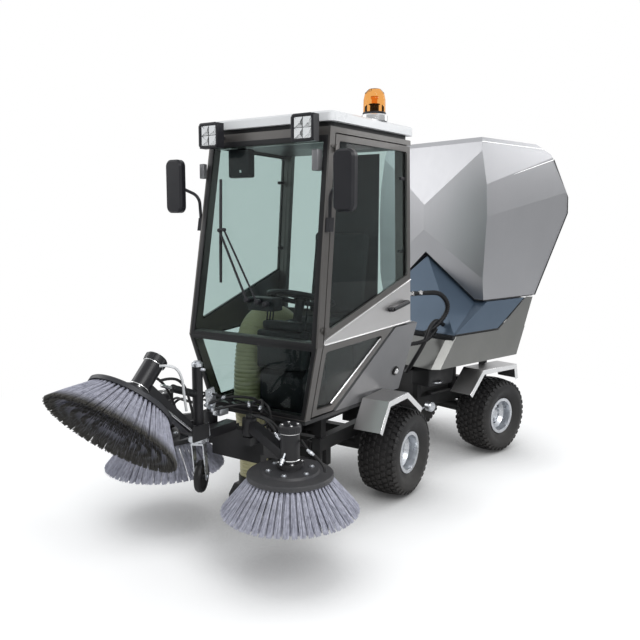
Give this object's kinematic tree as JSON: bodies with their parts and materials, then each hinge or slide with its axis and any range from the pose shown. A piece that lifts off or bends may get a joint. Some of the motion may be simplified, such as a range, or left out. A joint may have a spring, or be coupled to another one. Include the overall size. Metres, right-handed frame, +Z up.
{
  "type": "compact articulated road sweeper with a raised front brush deck",
  "caption": "Compact articulated road sweeper: glazed cab, raised brush deck on parallel links, suction mouth and a tipping faceted hopper.",
  "frame": {"origin": "ground plane, under the middle of the whole machine's box", "axes": "+X towards the front brush, +Y to the vehicle's left, +Z up"},
  "size_m": [3.8558, 1.563, 2.1856],
  "materials": {
    "chassis": "satin",
    "cab_paint": "metallic satin",
    "panel_grey": "satin",
    "tinted_glass": "clear tinted",
    "roof_white": "gloss",
    "black_rubber": "matte",
    "bright_steel": "brushed",
    "seat_cover": "woven",
    "black_plastic": "matte",
    "hose_olive": "matte",
    "lamp_lens": "clear faceted",
    "beacon_foot": "polished",
    "amber_lens": "clear",
    "deck_black": "satin",
    "zinc": "galvanised",
    "disc_plastic": "matte",
    "bristle": "matte",
    "engine_iron": "cast",
    "cover_blue": "satin",
    "skirt_grey": "satin",
    "red_lens": "clear",
    "brushed_hopper": "brushed",
    "tyre_rubber": "matte"
  },
  "bodies": {
    "front": {"front_frame": "chassis", "front_axle": "chassis", "cab_frame": "cab_paint", "cab_floor": "chassis", "cab_rear_wall": "panel_grey", "cab_glass": "tinted_glass", "body_side_panels": "panel_grey", "roof": "roof_white", "roof_gasket": "black_rubber", "front_fenders": "bright_steel", "seat_base": "chassis", "seat_cushions": "seat_cover", "steering_column": "black_plastic", "steering_wheel": "black_plastic", "suction_mouth": "chassis", "suction_hose": "hose_olive", "work_lamps": "black_plastic", "work_lamp_lenses": "lamp_lens", "beacon_base": "beacon_foot", "beacon_dome": "amber_lens", "mirrors": "black_plastic"},
    "left_door": {"left_door_frame": "cab_paint", "left_door_band": "bright_steel", "left_door_glass": "tinted_glass"},
    "right_door": {"right_door_frame": "cab_paint", "right_door_band": "bright_steel", "right_door_glass": "tinted_glass"},
    "lift_arms": {"lift_arms": "deck_black"},
    "lift_links": {"lift_links": "deck_black"},
    "deck": {"deck_frame": "deck_black"},
    "caster_fork": {"caster_fork": "zinc"},
    "caster_wheel": {"caster_wheel": "black_rubber"},
    "left_arm": {"left_brush_arm": "deck_black"},
    "right_arm": {"right_brush_arm": "deck_black"},
    "left_brush": {"left_brush_disc": "disc_plastic", "left_brush_bristles": "bristle"},
    "right_brush": {"right_brush_disc": "disc_plastic", "right_brush_bristles": "bristle"},
    "front_boom": {"front_boom": "deck_black"},
    "front_brush": {"front_brush_disc": "disc_plastic", "front_brush_bristles": "bristle"},
    "rear": {"rear_frame": "chassis", "rear_axle": "chassis", "engine_block": "engine_iron", "engine_cover": "cover_blue", "side_skirts": "skirt_grey", "rear_fenders": "bright_steel", "tail_lamps": "red_lens", "hydraulic_hose": "black_rubber"},
    "hopper": {"hopper": "brushed_hopper"},
    "hopper_door": {"hopper_door": "brushed_hopper"},
    "front_left_wheel": {"front_left_rim": "zinc", "front_left_tyre": "tyre_rubber"},
    "front_right_wheel": {"front_right_rim": "zinc", "front_right_tyre": "tyre_rubber"},
    "rear_left_wheel": {"rear_left_rim": "zinc", "rear_left_tyre": "tyre_rubber"},
    "rear_right_wheel": {"rear_right_rim": "zinc", "rear_right_tyre": "tyre_rubber"}
  },
  "joints": [
    {"name": "front_left_wheel_spin", "type": "hinge", "parent": "front", "child": "front_left_wheel", "pos_m": [0.03898, 0.32634, 0.247], "axis": [0, 1, 0], "continuous": true},
    {"name": "rear_left_wheel_spin", "type": "hinge", "parent": "rear", "child": "rear_left_wheel", "pos_m": [-1.02665, 0.49817, 0.247], "axis": [0.2672, 0.9636, 0], "continuous": true},
    {"name": "front_right_wheel_spin", "type": "hinge", "parent": "front", "child": "front_right_wheel", "pos_m": [0.03898, -0.39366, 0.247], "axis": [0, 1, 0], "continuous": true},
    {"name": "rear_right_wheel_spin", "type": "hinge", "parent": "rear", "child": "rear_right_wheel", "pos_m": [-1.21906, -0.19564, 0.247], "axis": [0.2672, 0.9636, 0], "continuous": true},
    {"name": "articulation", "type": "hinge", "parent": "front", "child": "rear", "pos_m": [-0.45602, -0.03366, 0.345], "axis": [0, 0, 1], "range_deg": [-19.5, 50.5]},
    {"name": "deck_lift", "type": "hinge", "parent": "front", "child": "lift_arms", "pos_m": [0.50898, -0.03366, 0.262], "axis": [0, 1, 0], "range_deg": [0, 39.2]},
    {"name": "link_follow", "type": "hinge", "parent": "front", "child": "lift_links", "pos_m": [0.50898, -0.03366, 0.352], "axis": [0, 1, 0], "range_deg": [0, 39.2]},
    {"name": "deck_level", "type": "hinge", "parent": "lift_arms", "child": "deck", "pos_m": [0.89975, -0.03366, 0.41593], "axis": [0, 1, 0], "range_deg": [-39.2, 0]},
    {"name": "caster_swivel", "type": "hinge", "parent": "deck", "child": "caster_fork", "pos_m": [1.21898, -0.06366, 0.532], "axis": [0, 0, 1], "continuous": true},
    {"name": "caster_spin", "type": "hinge", "parent": "caster_fork", "child": "caster_wheel", "pos_m": [1.19179, -0.07634, 0.36], "axis": [-0.4226, 0.9063, 0], "continuous": true},
    {"name": "left_arm_swing", "type": "hinge", "parent": "deck", "child": "left_arm", "pos_m": [1.03898, 0.08634, 0.59], "axis": [0, 0, 1], "range_deg": [-5, 25]},
    {"name": "right_arm_swing", "type": "hinge", "parent": "deck", "child": "right_arm", "pos_m": [1.03898, -0.15366, 0.59], "axis": [0, 0, 1], "range_deg": [-4, 26]},
    {"name": "left_brush_spin", "type": "hinge", "parent": "left_arm", "child": "left_brush", "pos_m": [1.14479, 0.39363, 0.29], "axis": [0, 0, 1], "continuous": true},
    {"name": "right_brush_spin", "type": "hinge", "parent": "right_arm", "child": "right_brush", "pos_m": [1.02764, -0.47846, 0.29], "axis": [0, 0, 1], "continuous": true},
    {"name": "front_boom_lift", "type": "hinge", "parent": "deck", "child": "front_boom", "pos_m": [1.27398, -0.06366, 0.6], "axis": [0, 1, 0], "range_deg": [0, 50]},
    {"name": "front_brush_spin", "type": "hinge", "parent": "front_boom", "child": "front_brush", "pos_m": [1.59898, -0.06366, 0.808], "axis": [-0.6947, 0, 0.7193], "continuous": true},
    {"name": "left_door_hinge", "type": "hinge", "parent": "front", "child": "left_door", "pos_m": [0.8348, 0.37044, 1.01038], "axis": [0.1499, 0.0316, -0.9882], "range_deg": [0, 70]},
    {"name": "right_door_hinge", "type": "hinge", "parent": "front", "child": "right_door", "pos_m": [0.8348, -0.43777, 1.01038], "axis": [-0.1499, 0.0316, 0.9882], "range_deg": [0, 70]},
    {"name": "hopper_tip", "type": "hinge", "parent": "rear", "child": "hopper", "pos_m": [-1.4052, 0.22957, 1], "axis": [-0.2672, -0.9636, 0], "range_deg": [0, 50]},
    {"name": "hopper_door_hinge", "type": "hinge", "parent": "hopper", "child": "hopper_door", "pos_m": [-1.62254, 0.28984, 1.96027], "axis": [0.2672, 0.9636, 0], "range_deg": [0, 80]}
  ],
  "couplings": [
    {"joint": "link_follow", "follows": "deck_lift", "ratio": 1},
    {"joint": "deck_level", "follows": "deck_lift", "ratio": -1}
  ]
}
